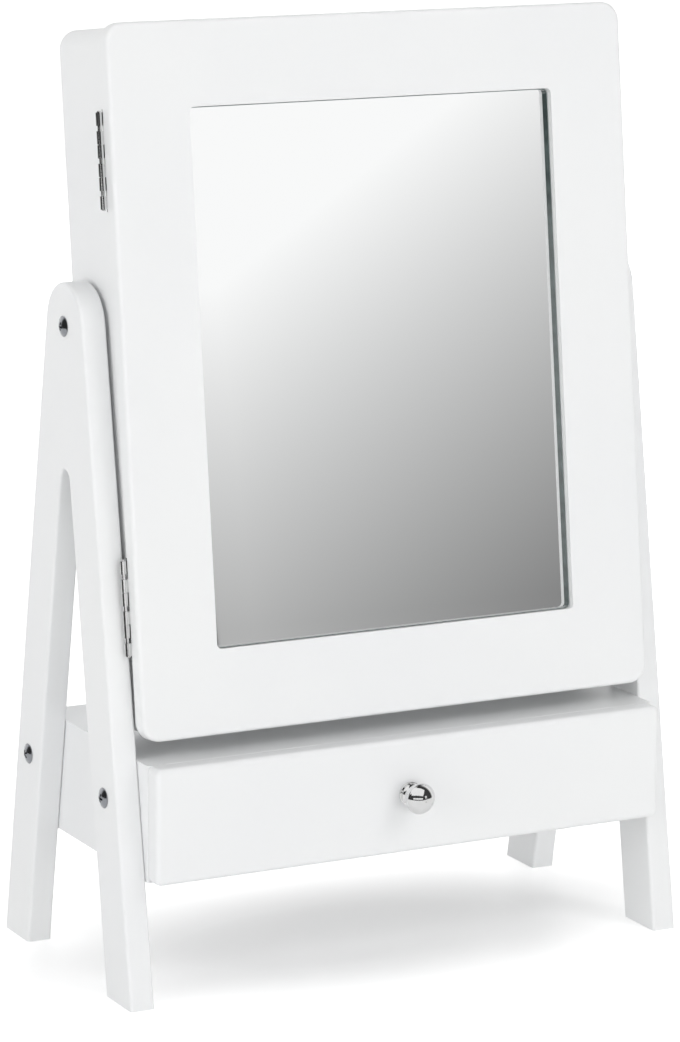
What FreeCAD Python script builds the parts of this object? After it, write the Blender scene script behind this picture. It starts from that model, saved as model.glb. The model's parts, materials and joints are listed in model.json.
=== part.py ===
import FreeCAD, Part
import math
import os
from FreeCAD import Vector

# Tabletop jewelry mirror cabinet. Two A-shaped side panels carry a drawer unit between them
# and a shallow cabinet that tilts on two pivot screws. The cabinet's door holds a mirror.
# Millimetres. X runs across, -Y is the front, +Z is up.
# Stand and drawer are drawn about the middle of the feet. The cabinet and its door are drawn
# upright about the pivot line, then leaned back and lifted to it.

# ---- stand -------------------------------------------------------------------------------
LEG_SPACING = 278.0          # between the inner faces of the two side panels
LEG_THICKNESS = 12.7
FOOT_HALF_DEPTH = 75.0
PIVOT_HEIGHT = 318.5
APEX_RADIUS = 21.0           # round top of a side panel, about the pivot
LEG_WIDTH = 28.0             # square to the sloping edge
SLOT_TOP_RADIUS = 5.5
LEG_EASE = 1.5               # rounding of the panel's long edges

# ---- drawer unit -------------------------------------------------------------------------
UNIT_BOTTOM = 60.0
UNIT_HEIGHT = 57.5
UNIT_FRONT = 66.7            # forward of the pivot line
UNIT_PAST_SCREW = 7.7        # the unit's back behind the middle of its rear screws
UNIT_SIDE = 9.0
UNIT_TOP = 8.0
UNIT_FLOOR = 6.0
UNIT_BACK_BOARD = 4.0
UNIT_EASE = 0.8
UNIT_SCREW_HEIGHT = 98.0

# ---- drawer ------------------------------------------------------------------------------
FRONT_THICKNESS = 9.0
FRONT_GAP = 0.3              # all round the drawer front, and behind it
FRONT_CORNER = 3.0
FRONT_EASE = 2.5
DRAWER_SIDE = 6.0
DRAWER_SIDE_PLAY = 0.5
DRAWER_TOP_PLAY = 4.0
DRAWER_LENGTH = 108.0        # behind the drawer front
DRAWER_FLOOR = 3.0
DRAWER_FLOOR_RAISE = 2.5
GROOVE_DEPTH = 2.5
LINING = 1.2

# ---- knob --------------------------------------------------------------------------------
KNOB_HEIGHT = 90.1
KNOB_OFFSET = -3.1           # the knob sits a little left of the middle
KNOB_HEAD_RADIUS = 7.7
KNOB_HEAD_DEPTH = 8.2
KNOB_LENGTH = 16.8
ROSETTE_RADIUS = 5.9
ROSETTE_THICKNESS = 2.6
ROSETTE_STEP = 1.3
NECK_RADIUS = 3.9

# ---- cabinet -----------------------------------------------------------------------------
HUNG_CLEARANCE = 0.2         # at rest, hinges and door to the front edges of the side panels
WASHER_THICKNESS = 2.0       # between a side panel and the cabinet
ABOVE_PIVOT = 141.5          # door edge
BELOW_PIVOT = 197.5
DOOR_OVERHANG = 2.0          # door past the cabinet, above and below
CABINET_FRONT = 29.0         # forward of the pivot line
CABINET_DEPTH = 50.5
CABINET_WALL = 9.0
CABINET_CORNER = 9.5
CABINET_EASE = 1.5
BACK_BOARD = 3.0
REBATE = 4.0
GLUE = 0.05                  # behind the lining card

# ---- door and mirror ---------------------------------------------------------------------
DOOR_PAST_CABINET = 2.2      # at each side
DOOR_THICKNESS = 8.8
DOOR_GAP = 0.5
DOOR_CORNER = 9.5
DOOR_EASE = 2.0
DOOR_BACK_EASE = 0.8
MIRROR_BORDER = 41.0
MIRROR_POCKET = 7.0
MIRROR_CORNER = 2.5
GLASS_THICKNESS = 3.0
GLASS_GAP = 0.3
GLASS_ARRIS = 0.4
TAPE_THICKNESS = 0.5
TAPE_WIDTH = 20.0
TAPE_STRIPS = 4

# ---- butt hinges -------------------------------------------------------------------------
HINGE_FROM_END = 64.0        # door end to the middle of a hinge
LEAF_HEIGHT = 48.0
LEAF_REACH = 11.6            # pin axis to the leaf's inner edge
LEAF_THICKNESS = 0.8
BARREL_RADIUS = 1.6
PIN_RADIUS = 0.95
PIN_CLEARANCE = 0.05
KNUCKLES = 6
KNUCKLE_LENGTH = 6.2
KNUCKLE_PLAY = 2.5           # open above each door knuckle, where the pin shows
KNUCKLE_REST = 0.3           # under each door knuckle
PIN_OVERRUN = 0.8
LEAF_SCREW_SPACING = 32.0
LEAF_SCREW_INSET = 8.4       # from the pin axis
LEAF_SCREW_RADIUS = 1.0
LEAF_SCREW_HEAD = 1.9
LEAF_SCREW_LENGTH = 7.0

# ---- magnetic catch ----------------------------------------------------------------------
MAGNET_RADIUS = 3.0
MAGNET_LENGTH = 5.0
STRIKE_RADIUS = 4.0
STRIKE_THICKNESS = 1.0

# ---- screws ------------------------------------------------------------------------------
SCREW_HEAD_RADIUS = 5.0
SCREW_HEAD_HEIGHT = 2.2
DRIVE_RADIUS = 2.1
DRIVE_DEPTH = 1.5
UNIT_SCREW_RADIUS = 2.0
PIVOT_SCREW_RADIUS = 2.5
INSERT_RADIUS = 4.2
INSERT_LENGTH = 7.5
WASHER_RADIUS = 8.0
KNOB_SCREW_RADIUS = 2.0
FIT = 0.05                   # radial clearance of a screw or insert in its hole

# ---- fittings inside the cabinet ---------------------------------------------------------
RAIL_BELOW_TOP = 12.0
RAIL_HEIGHT = 14.0
RAIL_DEPTH = 8.0
HOOKS = 7
HOOK_WIRE = 0.9
HOOK_REACH = 8.0
HOOK_BEND = 3.0
HOOK_RISE = 4.0
SHELF_ABOVE_FLOOR = 62.0
SHELF_THICKNESS = 6.0
SHELF_DEPTH = 38.0
GUARD_RADIUS = 1.5
GUARD_ABOVE_SHELF = 17.0
GUARD_SOCKET = 3.0
ROLL_COUNT = 5
ROLL_RADIUS = 6.0
ROLL_LENGTH = 108.0
ROLL_GAP = 0.6
ROLL_END_INSET = 8.0
BAR_LENGTH = 108.0
BAR_HEIGHT = 9.0
BAR_DEPTH = 3.0
BAR_STANDOFF = 9.0
BAR_SLOTS = 9
BAR_SLOT_WIDTH = 1.6
BAR_SLOT_DEPTH = 5.0
BAR_LEVELS = (18.0, 62.0)    # above the pivot
POST_RADIUS = 2.0

# ---- worked out --------------------------------------------------------------------------
LEG_IN = LEG_SPACING / 2
LEG_OUT = LEG_IN + LEG_THICKNESS
FOOT_REACH = math.hypot(FOOT_HALF_DEPTH, PIVOT_HEIGHT)
SPLAY = math.acos(APEX_RADIUS / FOOT_REACH) - math.atan2(PIVOT_HEIGHT, FOOT_HALF_DEPTH)
FOOT_INNER = FOOT_HALF_DEPTH - LEG_WIDTH / math.cos(SPLAY)
SLOT_CENTRE = (FOOT_INNER * math.cos(SPLAY) - SLOT_TOP_RADIUS) / math.sin(SPLAY)

UNIT_TOP_Z = UNIT_BOTTOM + UNIT_HEIGHT
UNIT_SCREW_Y = (FOOT_HALF_DEPTH + FOOT_INNER) / 2 - UNIT_SCREW_HEIGHT * math.tan(SPLAY)
UNIT_BACK = UNIT_SCREW_Y + UNIT_PAST_SCREW
BAY_HALF = LEG_IN - UNIT_SIDE
BAY_FLOOR = UNIT_BOTTOM + UNIT_FLOOR
BAY_TOP = UNIT_TOP_Z - UNIT_TOP

FRONT_HALF = LEG_IN - FRONT_GAP
FRONT_BACK_Y = -UNIT_FRONT - FRONT_GAP
FRONT_FACE_Y = FRONT_BACK_Y - FRONT_THICKNESS
DRAWER_HALF = BAY_HALF - DRAWER_SIDE_PLAY
DRAWER_INNER = DRAWER_HALF - DRAWER_SIDE
DRAWER_LOW = BAY_FLOOR + FRONT_GAP
DRAWER_HIGH = BAY_TOP - DRAWER_TOP_PLAY
DRAWER_BACK_Y = FRONT_BACK_Y + DRAWER_LENGTH
DRAWER_FLOOR_LOW = DRAWER_LOW + DRAWER_FLOOR_RAISE
DRAWER_FLOOR_HIGH = DRAWER_FLOOR_LOW + DRAWER_FLOOR

CAB_HALF = LEG_IN - WASHER_THICKNESS
CAB_TOP = ABOVE_PIVOT - DOOR_OVERHANG
CAB_LOW = DOOR_OVERHANG - BELOW_PIVOT
CAB_BACK_Y = CABINET_DEPTH - CABINET_FRONT
CAB_IN = CAB_HALF - CABINET_WALL
CAB_IN_TOP = CAB_TOP - CABINET_WALL
CAB_IN_LOW = CAB_LOW + CABINET_WALL
LINING_Y = CAB_BACK_Y - BACK_BOARD - GLUE - LINING

DOOR_HALF = CAB_HALF + DOOR_PAST_CABINET
DOOR_BACK_Y = -CABINET_FRONT - DOOR_GAP
DOOR_FACE_Y = DOOR_BACK_Y - DOOR_THICKNESS
DOOR_MIDDLE = (ABOVE_PIVOT - BELOW_PIVOT) / 2
POCKET_FLOOR_Y = DOOR_FACE_Y + MIRROR_POCKET
POCKET_HALF = DOOR_HALF - MIRROR_BORDER
POCKET_TOP = ABOVE_PIVOT - MIRROR_BORDER
POCKET_LOW = MIRROR_BORDER - BELOW_PIVOT

AXIS_X = -(DOOR_HALF + BARREL_RADIUS + PIN_CLEARANCE)
AXIS_Y = -CABINET_FRONT - DOOR_GAP / 2
HINGE_LEVELS = (ABOVE_PIVOT - HINGE_FROM_END, HINGE_FROM_END - BELOW_PIVOT)
BARREL_LENGTH = (KNUCKLES * KNUCKLE_LENGTH + KNUCKLES / 2 * KNUCKLE_PLAY
                 + (KNUCKLES / 2 - 1) * KNUCKLE_REST)
CATCH_X = CAB_HALF - CABINET_WALL / 2

# The cabinet leans back until a lower hinge barrel or the door's lower back edge is
# HUNG_CLEARANCE from the side panels. Each turn is counted past parallel to a panel's edge.
BARREL_LOW = BARREL_LENGTH / 2 - HINGE_LEVELS[1]
BARREL_KEEP = APEX_RADIUS + BARREL_RADIUS + HUNG_CLEARANCE
BARREL_TURN = (math.acos(BARREL_KEEP / math.hypot(AXIS_Y, BARREL_LOW))
               - math.atan2(BARREL_LOW, -AXIS_Y))
DOOR_KEEP = APEX_RADIUS + HUNG_CLEARANCE
DOOR_TURN = (math.acos(DOOR_KEEP / math.hypot(DOOR_BACK_Y, BELOW_PIVOT))
             - math.atan2(BELOW_PIVOT, -DOOR_BACK_Y))
LEAN = math.degrees(SPLAY - min(BARREL_TURN, DOOR_TURN))

SHELF_TOP = CAB_IN_LOW + SHELF_ABOVE_FLOOR
SHELF_FRONT_Y = LINING_Y - SHELF_DEPTH
SIDE_FITTING_X = CAB_IN - ROLL_END_INSET - ROLL_LENGTH / 2

NECK_LENGTH = KNOB_LENGTH - KNOB_HEAD_DEPTH - ROSETTE_THICKNESS

# The origin is the middle of the object's box at floor level, so the knob's reach counts.
KNOB_TIP = -FRONT_FACE_Y + KNOB_LENGTH
DEPTH_SHIFT = (KNOB_TIP - FOOT_HALF_DEPTH) / 2


# ---- helpers -----------------------------------------------------------------------------
def block(x0, x1, y0, y1, z0, z1):
    return Part.makeBox(x1 - x0, y1 - y0, z1 - z0, Vector(x0, y0, z0))


def rod(radius, length, base, direction):
    return Part.makeCylinder(radius, length, Vector(*base), Vector(*direction))


def cone(radius0, radius1, length, base, direction):
    return Part.makeCone(radius0, radius1, length, Vector(*base), Vector(*direction))


def cut_all(shape, tools):
    for tool in tools:
        shape = shape.cut(tool)
    return shape


def plate(x0, x1, z0, z1, corner, y0, y1):
    """A board in the XZ plane with rounded corners, from y0 back to y1."""
    bulge = corner * (1 - math.sqrt(0.5))
    lines = [((x0 + corner, z0), (x1 - corner, z0)), ((x1, z0 + corner), (x1, z1 - corner)),
             ((x1 - corner, z1), (x0 + corner, z1)), ((x0, z1 - corner), (x0, z0 + corner))]
    middles = [(x1 - bulge, z0 + bulge), (x1 - bulge, z1 - bulge),
               (x0 + bulge, z1 - bulge), (x0 + bulge, z0 + bulge)]
    edges = []
    for i, (start, end) in enumerate(lines):
        after = lines[(i + 1) % len(lines)][0]
        edges.append(Part.LineSegment(at_y(start, y0), at_y(end, y0)).toShape())
        arc = Part.Arc(at_y(end, y0), at_y(middles[i], y0), at_y(after, y0))
        edges.append(arc.toShape())
    return Part.Face(Part.Wire(edges)).extrude(Vector(0, y1 - y0, 0))


def at_y(point, y):
    return Vector(point[0], y, point[1])


def ease(shape, radius, keep):
    """Round every edge whose end points all satisfy keep."""
    chosen = [e for e in shape.Edges if all(keep(v.Point) for v in e.Vertexes)]
    return shape.makeFillet(radius, chosen)


def level(axis, value):
    """True for points on the plane where the given coordinate has this value."""
    return lambda p: abs((p.x, p.y, p.z)["xyz".index(axis)] - value) < 1e-4


def mirrored(shape):
    return shape.mirror(Vector(0, 0, 0), Vector(1, 0, 0))


def group(shapes):
    return Part.makeCompound(shapes)


def place(shape):
    """Set a stand or drawer piece about the object's own origin."""
    shape.translate(Vector(0, DEPTH_SHIFT, 0))
    return shape


def lean(shape):
    """Carry a cabinet or door piece from the upright pivot frame to where it hangs."""
    shape.rotate(Vector(0, 0, 0), Vector(1, 0, 0), -LEAN)
    shape.translate(Vector(0, 0, PIVOT_HEIGHT))
    return place(shape)


def save(node, shape):
    shape.exportStep("parts/" + node + ".step")


# ---- stand -------------------------------------------------------------------------------
def leg_outline():
    """The A in the YZ plane: straight feet, a round apex and a round-topped slot."""
    rise = Vector(0, math.cos(SPLAY), math.sin(SPLAY))
    pivot = Vector(0, 0, PIVOT_HEIGHT)
    slot = Vector(0, 0, SLOT_CENTRE)

    def flip(p):
        return Vector(p.x, -p.y, p.z)

    apex = pivot + rise * APEX_RADIUS
    crotch = slot + rise * SLOT_TOP_RADIUS
    apex_top = pivot + Vector(0, 0, APEX_RADIUS)
    slot_top = slot + Vector(0, 0, SLOT_TOP_RADIUS)
    foot = Vector(0, FOOT_HALF_DEPTH, 0)
    inner = Vector(0, FOOT_INNER, 0)
    edges = [Part.LineSegment(foot, apex), Part.Arc(apex, apex_top, flip(apex)),
             Part.LineSegment(flip(apex), flip(foot)), Part.LineSegment(flip(foot), flip(inner)),
             Part.LineSegment(flip(inner), flip(crotch)),
             Part.Arc(flip(crotch), slot_top, crotch),
             Part.LineSegment(crotch, inner), Part.LineSegment(inner, foot)]
    return Part.Face(Part.Wire([e.toShape() for e in edges]))


def left_leg():
    leg = leg_outline().extrude(Vector(LEG_THICKNESS, 0, 0))
    leg.translate(Vector(-LEG_OUT, 0, 0))
    long_edges = []
    for edge in leg.Edges:
        flat = max(v.X for v in edge.Vertexes) - min(v.X for v in edge.Vertexes) < 1e-4
        on_floor = all(v.Z < 1e-4 for v in edge.Vertexes)
        if flat and not on_floor:
            long_edges.append(edge)
    leg = leg.makeFillet(LEG_EASE, long_edges)
    holes = [rod(PIVOT_SCREW_RADIUS + FIT, LEG_THICKNESS, (-LEG_OUT, 0, PIVOT_HEIGHT), (1, 0, 0))]
    for y in (-UNIT_SCREW_Y, UNIT_SCREW_Y):
        holes.append(rod(UNIT_SCREW_RADIUS + FIT, LEG_THICKNESS,
                         (-LEG_OUT, y, UNIT_SCREW_HEIGHT), (1, 0, 0)))
    return cut_all(leg, holes)


def pan_screw(radius, length, base):
    """A domed screw that enters along +X: its head's flat underside is at base."""
    x, y, z = base
    dome_radius = (SCREW_HEAD_RADIUS ** 2 + SCREW_HEAD_HEIGHT ** 2) / (2 * SCREW_HEAD_HEIGHT)
    ball = Part.makeSphere(dome_radius, Vector(x - SCREW_HEAD_HEIGHT + dome_radius, y, z))
    head = ball.common(rod(SCREW_HEAD_RADIUS, SCREW_HEAD_HEIGHT, base, (-1, 0, 0)))
    shank = rod(radius, length, base, (1, 0, 0))
    drive = cone(DRIVE_RADIUS, 0.3, DRIVE_DEPTH, (x - SCREW_HEAD_HEIGHT, y, z), (1, 0, 0))
    return head.fuse(shank).cut(drive)


def unit_screws():
    """Two screws through each side panel into the drawer unit."""
    reach = LEG_THICKNESS + UNIT_SIDE - 1.5
    left = [pan_screw(UNIT_SCREW_RADIUS, reach, (-LEG_OUT, y, UNIT_SCREW_HEIGHT))
            for y in (-UNIT_SCREW_Y, UNIT_SCREW_Y)]
    return group(left + [mirrored(s) for s in left])


def pivot_screws():
    reach = LEG_THICKNESS + WASHER_THICKNESS + INSERT_LENGTH - 0.5
    left = pan_screw(PIVOT_SCREW_RADIUS, reach, (-LEG_OUT, 0, PIVOT_HEIGHT))
    return group([left, mirrored(left)])


def pivot_washers():
    ring = rod(WASHER_RADIUS, WASHER_THICKNESS - FIT, (-LEG_IN, 0, PIVOT_HEIGHT), (1, 0, 0))
    hole = rod(PIVOT_SCREW_RADIUS + FIT, WASHER_THICKNESS, (-LEG_IN, 0, PIVOT_HEIGHT), (1, 0, 0))
    left = ring.cut(hole)
    return group([left, mirrored(left)])


# ---- drawer unit -------------------------------------------------------------------------
def unit_side():
    board = block(-LEG_IN, -BAY_HALF, -UNIT_FRONT, UNIT_BACK, UNIT_BOTTOM, UNIT_TOP_Z)
    for y in (-UNIT_FRONT, UNIT_BACK):
        board = ease(board, UNIT_EASE, lambda p: level("y", y)(p) and level("x", -LEG_IN)(p))
    rebate = block(-BAY_HALF - REBATE, -BAY_HALF, UNIT_BACK - UNIT_BACK_BOARD, UNIT_BACK,
                   UNIT_BOTTOM, UNIT_TOP_Z)
    holes = [rod(UNIT_SCREW_RADIUS + FIT, UNIT_SIDE - 1.0, (-LEG_IN, y, UNIT_SCREW_HEIGHT),
                 (1, 0, 0)) for y in (-UNIT_SCREW_Y, UNIT_SCREW_Y)]
    return cut_all(board, [rebate] + holes)


def unit_top():
    board = block(-BAY_HALF, BAY_HALF, -UNIT_FRONT, UNIT_BACK - UNIT_BACK_BOARD, BAY_TOP,
                  UNIT_TOP_Z)
    return ease(board, UNIT_EASE, lambda p: level("y", -UNIT_FRONT)(p) and level("z", UNIT_TOP_Z)(p))


def unit_floor():
    return block(-BAY_HALF, BAY_HALF, -UNIT_FRONT, UNIT_BACK - UNIT_BACK_BOARD, UNIT_BOTTOM,
                 BAY_FLOOR)


def unit_back():
    half = BAY_HALF + REBATE
    return block(-half, half, UNIT_BACK - UNIT_BACK_BOARD, UNIT_BACK, UNIT_BOTTOM, UNIT_TOP_Z)


# ---- drawer ------------------------------------------------------------------------------
def drawer_front():
    board = plate(-FRONT_HALF, FRONT_HALF, UNIT_BOTTOM + FRONT_GAP, UNIT_TOP_Z, FRONT_CORNER,
                  FRONT_FACE_Y, FRONT_BACK_Y)
    board = ease(board, FRONT_EASE, level("y", FRONT_FACE_Y))
    groove = block(-DRAWER_INNER, DRAWER_INNER, FRONT_BACK_Y - GROOVE_DEPTH, FRONT_BACK_Y,
                   DRAWER_FLOOR_LOW, DRAWER_FLOOR_HIGH)
    hole = rod(KNOB_SCREW_RADIUS + FIT, FRONT_THICKNESS, (KNOB_OFFSET, FRONT_BACK_Y, KNOB_HEIGHT),
               (0, -1, 0))
    return cut_all(board, [groove, hole])


def drawer_side():
    board = block(-DRAWER_HALF, -DRAWER_INNER, FRONT_BACK_Y, DRAWER_BACK_Y, DRAWER_LOW,
                  DRAWER_HIGH)
    board = ease(board, UNIT_EASE, level("z", DRAWER_HIGH))
    groove = block(-DRAWER_INNER - GROOVE_DEPTH, -DRAWER_INNER, FRONT_BACK_Y, DRAWER_BACK_Y,
                   DRAWER_FLOOR_LOW, DRAWER_FLOOR_HIGH)
    return board.cut(groove)


def drawer_back():
    board = block(-DRAWER_INNER, DRAWER_INNER, DRAWER_BACK_Y - DRAWER_SIDE, DRAWER_BACK_Y,
                  DRAWER_LOW, DRAWER_HIGH - 2 * UNIT_EASE)
    groove = block(-DRAWER_INNER, DRAWER_INNER, DRAWER_BACK_Y - DRAWER_SIDE,
                   DRAWER_BACK_Y - DRAWER_SIDE + GROOVE_DEPTH, DRAWER_FLOOR_LOW,
                   DRAWER_FLOOR_HIGH)
    return board.cut(groove)


def drawer_floor():
    """The floor panel: it sits in grooves in the sides, and in the front and the back."""
    half = DRAWER_INNER + GROOVE_DEPTH
    back = DRAWER_BACK_Y - DRAWER_SIDE + GROOVE_DEPTH
    middle = block(-DRAWER_INNER, DRAWER_INNER, FRONT_BACK_Y - GROOVE_DEPTH, back,
                   DRAWER_FLOOR_LOW, DRAWER_FLOOR_HIGH)
    wide = block(-half, half, FRONT_BACK_Y, back, DRAWER_FLOOR_LOW, DRAWER_FLOOR_HIGH)
    return middle.fuse(wide).removeSplitter()


def drawer_lining():
    return block(-DRAWER_INNER, DRAWER_INNER, FRONT_BACK_Y, DRAWER_BACK_Y - DRAWER_SIDE,
                 DRAWER_FLOOR_HIGH, DRAWER_FLOOR_HIGH + LINING)


def turned(profile, bulges):
    """Turn (radius, distance) points about the knob's axis, forward from the drawer front.

    bulges holds the indices of points that an arc passes through on its way to the next one.
    """
    points = [Vector(KNOB_OFFSET + r, FRONT_FACE_Y - s, KNOB_HEIGHT) for r, s in profile]
    edges = []
    i = 0
    while i < len(points) - 1:
        if i + 1 in bulges:
            edges.append(Part.Arc(points[i], points[i + 1], points[i + 2]).toShape())
            i += 2
        else:
            edges.append(Part.LineSegment(points[i], points[i + 1]).toShape())
            i += 1
    edges.append(Part.LineSegment(points[-1], points[0]).toShape())
    axis = Vector(KNOB_OFFSET, FRONT_FACE_Y, KNOB_HEIGHT)
    solid = Part.Face(Part.Wire(edges)).revolve(axis, Vector(0, 1, 0), 360)
    return solid if solid.Volume > 0 else solid.reversed()


def knob():
    """A mushroom knob: a waisted neck under a domed head with a rounded rim."""
    under = ROSETTE_THICKNESS + NECK_LENGTH
    rim = under + KNOB_HEAD_DEPTH * 0.28
    crown = rim + KNOB_HEAD_DEPTH * 0.2
    crown_radius = KNOB_HEAD_RADIUS - 0.5
    rise = KNOB_LENGTH - crown
    dome = (crown_radius ** 2 + rise ** 2) / (2 * rise)
    half_angle = math.asin(crown_radius / dome) / 2
    middle = (dome * math.sin(half_angle), KNOB_LENGTH - dome * (1 - math.cos(half_angle)))
    profile = [(0, ROSETTE_THICKNESS), (NECK_RADIUS + 1.2, ROSETTE_THICKNESS),
               (NECK_RADIUS, ROSETTE_THICKNESS + NECK_LENGTH / 2), (NECK_RADIUS + 0.8, under),
               (KNOB_HEAD_RADIUS - 1.3, under + 0.6), (KNOB_HEAD_RADIUS, rim),
               (crown_radius, crown), middle, (0, KNOB_LENGTH)]
    body = turned(profile, (2, 5, 7))
    socket = rod(KNOB_SCREW_RADIUS + FIT, ROSETTE_THICKNESS + NECK_LENGTH,
                 (KNOB_OFFSET, FRONT_FACE_Y, KNOB_HEIGHT), (0, -1, 0))
    return body.cut(socket)


def knob_rosette():
    """The round foot that the knob stands on."""
    edge = ROSETTE_RADIUS
    inner = NECK_RADIUS + 1.2
    profile = [(0, 0), (edge, 0), (edge, ROSETTE_STEP - 0.4), (edge - 0.12, ROSETTE_STEP - 0.12),
               (edge - 0.4, ROSETTE_STEP), (inner, ROSETTE_STEP), (inner, ROSETTE_THICKNESS),
               (0, ROSETTE_THICKNESS)]
    hole = rod(KNOB_SCREW_RADIUS + FIT, ROSETTE_THICKNESS,
               (KNOB_OFFSET, FRONT_FACE_Y, KNOB_HEIGHT), (0, -1, 0))
    return turned(profile, (3,)).cut(hole)


def knob_screw():
    head_y = FRONT_BACK_Y + SCREW_HEAD_HEIGHT
    head = rod(SCREW_HEAD_RADIUS - 1.2, SCREW_HEAD_HEIGHT, (KNOB_OFFSET, head_y, KNOB_HEIGHT),
               (0, -1, 0))
    reach = SCREW_HEAD_HEIGHT + FRONT_THICKNESS + ROSETTE_THICKNESS + NECK_LENGTH - 1.0
    shank = rod(KNOB_SCREW_RADIUS, reach,
                (KNOB_OFFSET, head_y, KNOB_HEIGHT), (0, -1, 0))
    return head.fuse(shank)


# ---- cabinet, drawn upright about the pivot -----------------------------------------------
def cabinet_ring():
    """The four walls as one mitred ring, with the back board's rebate and the fittings' holes."""
    outer = plate(-CAB_HALF, CAB_HALF, CAB_LOW, CAB_TOP, CABINET_CORNER, -CABINET_FRONT,
                  CAB_BACK_Y)
    outer = ease(outer, CABINET_EASE, level("y", CAB_BACK_Y))
    hollow = block(-CAB_IN, CAB_IN, -CABINET_FRONT, CAB_BACK_Y, CAB_IN_LOW, CAB_IN_TOP)
    rebate = block(-CAB_IN - REBATE, CAB_IN + REBATE, CAB_BACK_Y - BACK_BOARD, CAB_BACK_Y,
                   CAB_IN_LOW - REBATE, CAB_IN_TOP + REBATE)
    socket = rod(INSERT_RADIUS + FIT, INSERT_LENGTH + FIT, (-CAB_HALF, 0, 0), (1, 0, 0))
    catch = rod(MAGNET_RADIUS + FIT, MAGNET_LENGTH, (CATCH_X, -CABINET_FRONT, DOOR_MIDDLE),
                (0, 1, 0))
    guard = rod(GUARD_RADIUS + FIT, 2 * (CAB_IN + GUARD_SOCKET),
                (-CAB_IN - GUARD_SOCKET, *guard_line()), (1, 0, 0))
    tools = [hollow, rebate, socket, mirrored(socket), catch, guard]
    for middle in HINGE_LEVELS:
        tools.append(leaf_pocket(middle, -CABINET_FRONT, 1))
        tools += leaf_screw_holes(middle, -CABINET_FRONT, 1)
    return cut_all(outer, tools)


def mitred(ring, side):
    """One wall of the ring: top, bottom, left or right, cut at 45 degrees at its corners."""
    x, xi = CAB_HALF, CAB_IN
    corners = {"top": [(-x, CAB_TOP), (x, CAB_TOP), (xi, CAB_IN_TOP), (-xi, CAB_IN_TOP)],
               "bottom": [(-x, CAB_LOW), (x, CAB_LOW), (xi, CAB_IN_LOW), (-xi, CAB_IN_LOW)],
               "left": [(-x, CAB_TOP), (-xi, CAB_IN_TOP), (-xi, CAB_IN_LOW), (-x, CAB_LOW)],
               "right": [(x, CAB_TOP), (xi, CAB_IN_TOP), (xi, CAB_IN_LOW), (x, CAB_LOW)]}[side]
    points = [at_y(c, -CABINET_FRONT) for c in corners]
    region = Part.Face(Part.makePolygon(points + points[:1]))
    return ring.common(region.extrude(Vector(0, CABINET_DEPTH, 0)))


def cabinet_back():
    half = CAB_IN + REBATE
    return block(-half, half, CAB_BACK_Y - BACK_BOARD, CAB_BACK_Y, CAB_IN_LOW - REBATE,
                 CAB_IN_TOP + REBATE)


def cabinet_lining():
    return block(-CAB_IN, CAB_IN, LINING_Y, LINING_Y + LINING, CAB_IN_LOW, CAB_IN_TOP)


def pivot_inserts():
    sleeve = rod(INSERT_RADIUS, INSERT_LENGTH, (-CAB_HALF, 0, 0), (1, 0, 0))
    bore = rod(PIVOT_SCREW_RADIUS + FIT, INSERT_LENGTH, (-CAB_HALF, 0, 0), (1, 0, 0))
    left = sleeve.cut(bore)
    return group([left, mirrored(left)])


def catch_magnet():
    return rod(MAGNET_RADIUS, MAGNET_LENGTH, (CATCH_X, -CABINET_FRONT, DOOR_MIDDLE), (0, 1, 0))


# ---- fittings inside ----------------------------------------------------------------------
def rail_low():
    return CAB_IN_TOP - RAIL_BELOW_TOP - RAIL_HEIGHT


def hook_rail():
    low = rail_low()
    rail = block(-CAB_IN, CAB_IN, LINING_Y - RAIL_DEPTH, LINING_Y, low, low + RAIL_HEIGHT)
    rail = ease(rail, UNIT_EASE, level("y", LINING_Y - RAIL_DEPTH))
    return cut_all(rail, [hook_stem(x) for x in hook_places()])


def hook_places():
    pitch = 2 * CAB_IN / HOOKS
    return [-CAB_IN + pitch * (i + 0.5) for i in range(HOOKS)]


def hook_stem(x):
    """The hole for a hook's shank in the rail."""
    return rod(HOOK_WIRE + FIT, RAIL_DEPTH / 2, (x, LINING_Y - RAIL_DEPTH,
                                                 rail_low() + RAIL_HEIGHT / 2), (0, 1, 0))


def necklace_hooks():
    """Wire hooks: straight out of the rail, a quarter turn up, and a ball at the tip."""
    z = rail_low() + RAIL_HEIGHT / 2
    root = LINING_Y - RAIL_DEPTH / 2
    out = LINING_Y - RAIL_DEPTH - HOOK_REACH
    half = HOOK_BEND * math.sqrt(0.5)
    hooks = []
    for x in hook_places():
        turn = Vector(x, out - half, z + HOOK_BEND - half)
        up = Vector(x, out - HOOK_BEND, z + HOOK_BEND)
        tip = up + Vector(0, 0, HOOK_RISE)
        path = Part.Wire([Part.LineSegment(Vector(x, root, z), Vector(x, out, z)).toShape(),
                          Part.Arc(Vector(x, out, z), turn, up).toShape(),
                          Part.LineSegment(up, tip).toShape()])
        section = Part.Wire(Part.makeCircle(HOOK_WIRE, Vector(x, root, z), Vector(0, 1, 0)))
        stem = path.makePipeShell([section], True, False)
        hooks.append(stem.fuse(Part.makeSphere(HOOK_WIRE * 1.5, tip)))
    return group(hooks)


def cabinet_shelf():
    board = block(-CAB_IN, CAB_IN, SHELF_FRONT_Y, LINING_Y, SHELF_TOP - SHELF_THICKNESS, SHELF_TOP)
    return ease(board, UNIT_EASE, level("y", SHELF_FRONT_Y))


def guard_line():
    """Y and Z of the rod that keeps things on the shelf."""
    return SHELF_FRONT_Y + 2 * GUARD_RADIUS, SHELF_TOP + GUARD_ABOVE_SHELF


def shelf_guard():
    half = CAB_IN + GUARD_SOCKET
    return rod(GUARD_RADIUS, 2 * half, (-half, *guard_line()), (1, 0, 0))


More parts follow.
